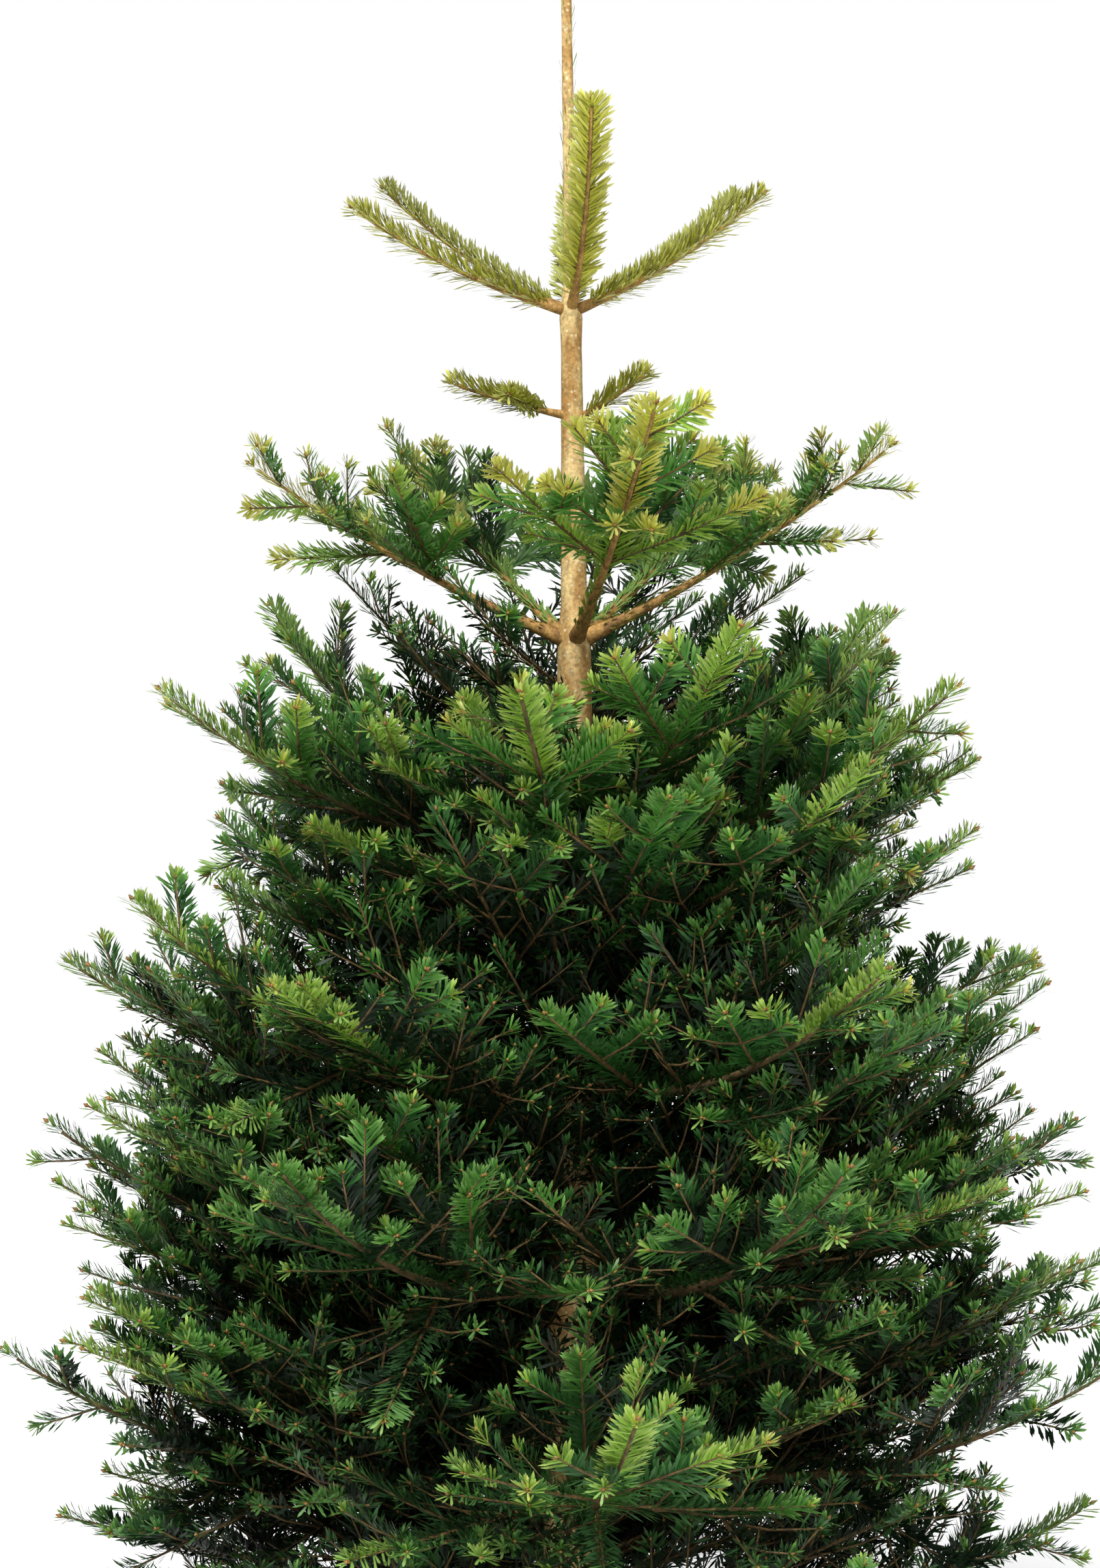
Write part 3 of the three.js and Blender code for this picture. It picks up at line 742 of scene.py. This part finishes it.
def wood_group():
    """Planed softwood: long grain, year rings and a few darker streaks."""
    tree, nodes, given, result = group(
        "sawn_wood", [("Light", "Color"), ("Dark", "Color"), ("Grain", "Vector")],
        [("Colour", "Color"), ("Height", "Float")])
    place = nodes.add("ShaderNodeTexCoord").outputs["Object"]
    mapping = nodes.add("ShaderNodeMapping", {"Vector": place, "Scale": given.outputs["Grain"]})
    stretched = mapping.outputs[0]
    bent = nodes.add("ShaderNodeTexNoise", {"Vector": stretched, "Scale": 1.0, "Detail": 2.0})
    rings = nodes.add("ShaderNodeTexWave", {"Vector": stretched, "Scale": 1.1, "Distortion": 5.0,
                                            "Detail": 2.0, "Detail Scale": 0.6}, wave_type="RINGS")
    fibre = nodes.add("ShaderNodeTexNoise", {"Vector": stretched, "Scale": 9.0, "Detail": 4.0})
    both = nodes.math("ADD", nodes.math("MULTIPLY", rings.outputs["Fac"], 0.6),
                      nodes.math("MULTIPLY", bent.outputs["Fac"], 0.4))
    colour = nodes.mix(both, given.outputs["Dark"], given.outputs["Light"])
    shade = nodes.ramp(fibre.outputs["Fac"], [(0.3, (0.78, 0.74, 0.68, 1)), (0.62, (1, 1, 1, 1))])
    tree.links.new(nodes.mix(1.0, colour, shade, "MULTIPLY"), result.inputs["Colour"])
    tree.links.new(fibre.outputs["Fac"], result.inputs["Height"])
    return tree


NEEDLE_TINT, BARK, WOOD = needle_group(), bark_group(), wood_group()


def new_material(name, roughness):
    material = bpy.data.materials.new(name)
    material.use_nodes = True
    nodes = Nodes(material.node_tree)
    shader = material.node_tree.nodes["Principled BSDF"]
    shader.inputs["Roughness"].default_value = roughness
    return material, nodes, shader


def needle_material(name, top, tip, under, roughness=0.43):
    """Needles of one tone, with their paler underside."""
    material, nodes, shader = new_material(name, roughness)
    tinted = nodes.add("ShaderNodeGroup", node_tree=NEEDLE_TINT)
    tinted.inputs["Colour"].default_value = linear(*top)
    tinted.inputs["Tip Colour"].default_value = linear(*tip)
    behind = nodes.add("ShaderNodeNewGeometry").outputs["Backfacing"]
    colour = nodes.mix(behind, tinted.outputs["Colour"], linear(*under))
    nodes.tree.links.new(colour, shader.inputs["Base Color"])
    shader.inputs["Specular IOR Level"].default_value = 0.32
    return material


def grouped_material(name, tree, values, roughness, bump, depth):
    """A material that takes its colour and height from a group."""
    material, nodes, shader = new_material(name, roughness)
    pattern = nodes.add("ShaderNodeGroup", node_tree=tree)
    for key, value in values.items():
        pattern.inputs[key].default_value = value
    nodes.tree.links.new(pattern.outputs["Colour"], shader.inputs["Base Color"])
    relief = nodes.add("ShaderNodeBump", {"Height": pattern.outputs["Height"], "Strength": bump,
                                          "Distance": depth})
    nodes.tree.links.new(relief.outputs["Normal"], shader.inputs["Normal"])
    return material


# each tone's top colour, the colour at the needles' ends, which is partly a painted highlight, and the
# underside's colour
NEEDLES = {
    "fresh": needle_material("needles_fresh", (190, 190, 68), (230, 228, 150), (168, 172, 90)),
    "light": needle_material("needles_light", (124, 163, 50), (196, 210, 124), (118, 151, 74)),
    "mid": needle_material("needles_mid", (67, 125, 40), (144, 180, 104), (78, 116, 58)),
    "dark": needle_material("needles_dark", (32, 82, 26), (90, 137, 74), (48, 81, 44)),
    "deep": needle_material("needles_deep", (13, 34, 13), (32, 61, 30), (20, 37, 21)),
}


def bark_values(light, dark, fleck, size):
    return {"Light": linear(*light), "Dark": linear(*dark), "Fleck": linear(*fleck), "Size": size}


TRUNK_BARK = grouped_material("trunk_bark", BARK, bark_values((240, 210, 144), (186, 142, 78),
                              (250, 236, 194), 60.0), 0.78, 0.6, 0.002)
BOUGH_BARK = grouped_material("bough_bark", BARK, bark_values((198, 154, 82), (132, 94, 46),
                              (214, 186, 118), 110.0), 0.74, 0.5, 0.001)
LOW_BOUGH_BARK = grouped_material("low_bough_bark", BARK, bark_values((116, 92, 52), (70, 54, 30),
                                  (142, 122, 80), 110.0), 0.78, 0.5, 0.001)
TWIG_BARK = grouped_material("twig_bark", BARK, bark_values((122, 96, 48), (72, 54, 28),
                             (148, 124, 74), 180.0), 0.7, 0.3, 0.0006)
BUD_SCALES = grouped_material("bud_scales", BARK, bark_values((172, 130, 64), (122, 84, 40),
                              (196, 162, 100), 320.0), 0.5, 0.3, 0.0004)


def wood_values(grain):
    return {"Light": linear(216, 180, 128), "Dark": linear(178, 132, 80), "Grain": grain}


# ---------------------------------------------------------------- trunk and boughs


def tube_bmesh(bm, sides, rings):
    """A tapering tube. rings holds, for each ring, a function from the turn to a place."""
    first = bmesh.ops.create_circle(bm, cap_ends=True, segments=sides, radius=1)["verts"]
    turn_of = {v: math.atan2(v.co.y, v.co.x) for v in first}
    ring = list(first)
    edges = [e for e in bm.edges if e.verts[0] in turn_of and e.verts[1] in turn_of]
    for number, place_at in enumerate(rings):
        if number:
            before = {tuple(v.co): turn_of[v] for v in ring}
            made = bmesh.ops.extrude_edge_only(bm, edges=edges)["geom"]
            ring = [g for g in made if isinstance(g, bmesh.types.BMVert)]
            edges = [g for g in made if isinstance(g, bmesh.types.BMEdge)]
            turn_of = {v: before[tuple(v.co)] for v in ring}
        for v in ring:
            v.co = place_at(turn_of[v])
    bmesh.ops.contextual_create(bm, geom=edges)


def face_order(face):
    """Sets the faces of a tube in the order of their corners, so that each run gives the same mesh."""
    corners = [v.index for v in face.verts]
    return 1e7 * min(corners) + sum(corners)


def finish_mesh(name, bm):
    bm.verts.index_update()
    bm.faces.sort(key=face_order)
    bmesh.ops.recalc_face_normals(bm, faces=bm.faces)
    for face in bm.faces:
        face.smooth = True
    mesh = bpy.data.meshes.new(name)
    bm.to_mesh(mesh)
    bm.free()
    return mesh


def trunk_radius(height):
    heights, radii = zip(*TRUNK_PROFILE)
    return float(np.interp(height, heights, radii)) * MM


def bark_relief(place, depth):
    """Shallow plates and blisters of the bark at a place, outwards in metres."""
    plates = noise.noise(Vector((place.x * 60, place.y * 60, place.z * 22)))
    fine = noise.noise(Vector((place.x * 210, place.y * 210, place.z * 120)))
    return depth * (0.6 * plates + 0.4 * fine)


TRUNK_SIDES, TRUNK_RING_STEP = 28, 9.0
UNDER_BARK = 0.985  # the bark's relief stands out from this share of the radius
BOUGH_SIDES, BOUGH_RING_STEP = 9, 12


def trunk_mesh():
    """The trunk, from its flat cut to its tip, with the bark's relief."""
    bm = bmesh.new()

    def ring_at(height):
        centre = Vector(trunk_centre(height))
        radius = trunk_radius(height)
        depth = 0.03 * radius + 0.0002

        def place_at(turn):
            out = Vector((math.cos(turn), math.sin(turn), 0))
            return centre + out * (radius * UNDER_BARK + bark_relief(centre + out * radius, depth))

        return place_at

    heights = [TRUNK_FOOT, *np.arange(38, TRUNK_TIP - 4, TRUNK_RING_STEP), TRUNK_TIP - 3, TRUNK_TIP]
    tube_bmesh(bm, TRUNK_SIDES, [ring_at(h) for h in heights])
    return finish_mesh("trunk", bm)


def limb_radius(limb, share):
    """Thinner towards the tip, with a collar where the limb leaves the trunk."""
    tip = 0.6 * TIP_RADIUS * MM
    radius = tip + (limb["radius"] - tip) * (1 - share) ** 2
    collar = 1 + 0.35 * math.exp(-((share * limb["length"] / 0.03) ** 2))
    return radius * collar


def bough_mesh(name, chosen):
    """Some limbs as one mesh, each a tapering tube with the bark's relief."""
    bm = bmesh.new()
    for limb in chosen:
        path = limb_path(limb)
        shares = np.linspace(0.005, 0.97, max(12, int(limb["length"] / (BOUGH_RING_STEP * MM))))
        places, _, across, over = path(shares)

        def ring_at(i, limb=limb, shares=shares, places=places, across=across, over=over):
            radius = limb_radius(limb, shares[i])

            def place_at(turn):
                out = Vector(across[i]) * math.cos(turn) + Vector(over[i]) * math.sin(turn)
                at = Vector(places[i]) + out * radius
                return at + out * bark_relief(at * 2.2, 0.08 * radius)

            return place_at

        tube_bmesh(bm, BOUGH_SIDES, [ring_at(i) for i in range(len(shares))])
    return finish_mesh(name, bm)


# ---------------------------------------------------------------- the tree's pieces


def node_names(*starts):
    return [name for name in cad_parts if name.startswith(starts)]


MASSES = node_names("foliage_", "top_shoot_", "side_twig_")
add_piece("trunk_bark", trunk_mesh(), TRUNK_BARK, ["trunk"])
for label, numbers, bark in (("upper", (1, 2), BOUGH_BARK), ("lower", (3, 4, 5, 6, 7), LOW_BOUGH_BARK)):
    chosen = [limb for tier, limb in limbs if tier["number"] in numbers]
    names = node_names(*[f"bough_tier{n}" for n in numbers]) + [
        n for n in MASSES if n.startswith(tuple(f"foliage_tier{m}" for m in numbers))]
    add_piece(f"boughs_{label}", bough_mesh(f"boughs_{label}", chosen), bark, names)


def parts_of(bunch):
    """Cuts a tone's needles into parts of fewer triangles than a piece may have."""
    faces = len(NEEDLE_FACES[bunch[0][0].shape[1]])
    total = sum(len(corners) for corners, _ in bunch) * faces
    most = total / math.ceil(total / MOST_TRIANGLES)
    part, held = [], 0
    for run in bunch:
        part.append(run)
        held += len(run[0]) * faces
        if held >= most:
            yield part
            part, held = [], 0
    if part:
        yield part


for tone, bunch in bunches.items():
    for number, part in enumerate(parts_of(bunch), 1):
        name = f"needles_{tone}_{number}"
        add_piece(name, needle_mesh(name, part), NEEDLES[tone], MASSES)

twig_paths = [(s["path"], 0.0, 1.0, *s["radius"]) for s in shoots if s["kind"] != "limb"]
twig_mesh = joined_mesh("twigs", tubes(twig_paths, TWIG_SIDES, TWIG_RINGS),
                       tube_faces(TWIG_SIDES, TWIG_RINGS))
add_piece("twigs", twig_mesh, TWIG_BARK, MASSES)
add_piece("buds", joined_mesh("buds", all_buds(), bud_faces()), BUD_SCALES, MASSES)

# ---------------------------------------------------------------- stand


def softened(name, edge):
    """The node's own faces with their edges eased."""
    bm = bmesh.new()
    bm.from_mesh(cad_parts[name].data)
    bmesh.ops.remove_doubles(bm, verts=bm.verts, dist=1e-6)
    bmesh.ops.dissolve_limit(bm, angle_limit=math.radians(4), verts=bm.verts, edges=bm.edges)
    sharp = [e for e in bm.edges if e.calc_face_angle(0) > math.radians(50)]
    bmesh.ops.bevel(bm, geom=sharp, offset=edge, segments=2, profile=0.5, affect="EDGES", material=-1,
                    clamp_overlap=True)
    mesh = bpy.data.meshes.new(name)
    bm.to_mesh(mesh)
    bm.free()
    return mesh


EASED_EDGE = 1.4

for name in node_names("stand_"):
    lengthways = name == "stand_board_lower" or name in ("stand_brace_1", "stand_brace_3")
    grain = (3, 40, 40) if lengthways else (40, 3, 40)
    wood = grouped_material(f"wood_{name}", WOOD, wood_values(grain), 0.62, 0.25, 0.0006)
    add_piece(f"{name}_wood", softened(name, EASED_EDGE * MM), wood, [name])

# ---------------------------------------------------------------- floor, light and camera


AMBIENT = 0.2  # how strongly the backdrop lights the tree, over how bright it shows
KEY_DIRECTION, KEY_STRENGTH, KEY_SPREAD = (0.2, 0.8, -1.0), 4.3, 36
FILL_PLACE, FILL_AIM, FILL_SIZE, FILL_POWER = (2.4, -2.6, 1.8), (0, 0, 0.9), 1.6, 30
VIEW_PLACE, VIEW_LENS = (-0.014, -3.2, 0.907), 83.6


def floor():
    bm = bmesh.new()
    bmesh.ops.create_grid(bm, x_segments=1, y_segments=1, size=12)
    mesh = bpy.data.meshes.new("floor")
    bm.to_mesh(mesh)
    bm.free()
    plane = bpy.data.objects.new("floor", mesh)
    plane.location.z = -0.0005
    bpy.context.scene.collection.objects.link(plane)
    material, _, shader = new_material("floor", 0.9)
    shader.inputs["Base Color"].default_value = (0.93, 0.93, 0.93, 1)
    mesh.materials.append(material)


def area_light(name, place, aim, size, power):
    data = bpy.data.lights.new(name, "AREA")
    data.shape, data.size, data.energy = "SQUARE", size, power
    lamp = bpy.data.objects.new(name, data)
    lamp.location = place
    lamp.rotation_euler = (Vector(aim) - Vector(place)).to_track_quat("-Z", "Y").to_euler()
    bpy.context.scene.collection.objects.link(lamp)


def studio():
    """A white backdrop that lights the tree less than it shows, a broad key from above, and a fill."""
    world = bpy.data.worlds.new("studio")
    world.use_nodes = True
    nodes = Nodes(world.node_tree)
    backdrop = world.node_tree.nodes["Background"]
    backdrop.inputs["Color"].default_value = (1, 1, 1, 1)
    seen = nodes.add("ShaderNodeLightPath").outputs["Is Camera Ray"]
    strength = nodes.math("ADD", nodes.math("MULTIPLY", seen, 1.0 - AMBIENT), AMBIENT)
    world.node_tree.links.new(strength, backdrop.inputs["Strength"])
    bpy.context.scene.world = world
    data = bpy.data.lights.new("key", "SUN")
    data.energy, data.angle = KEY_STRENGTH, math.radians(KEY_SPREAD)
    lamp = bpy.data.objects.new("key", data)
    lamp.rotation_euler = Vector(KEY_DIRECTION).to_track_quat("-Z", "Y").to_euler()
    bpy.context.scene.collection.objects.link(lamp)
    area_light("fill", FILL_PLACE, FILL_AIM, FILL_SIZE, FILL_POWER)


def camera():
    data = bpy.data.cameras.new("camera")
    data.sensor_width = 36
    data.lens = VIEW_LENS
    view = bpy.data.objects.new("camera", data)
    view.location = VIEW_PLACE
    view.rotation_euler = (math.radians(90), 0, 0)
    bpy.context.scene.collection.objects.link(view)
    bpy.context.scene.camera = view


floor()
studio()
camera()
bpy.context.scene.view_settings.view_transform = "Standard"
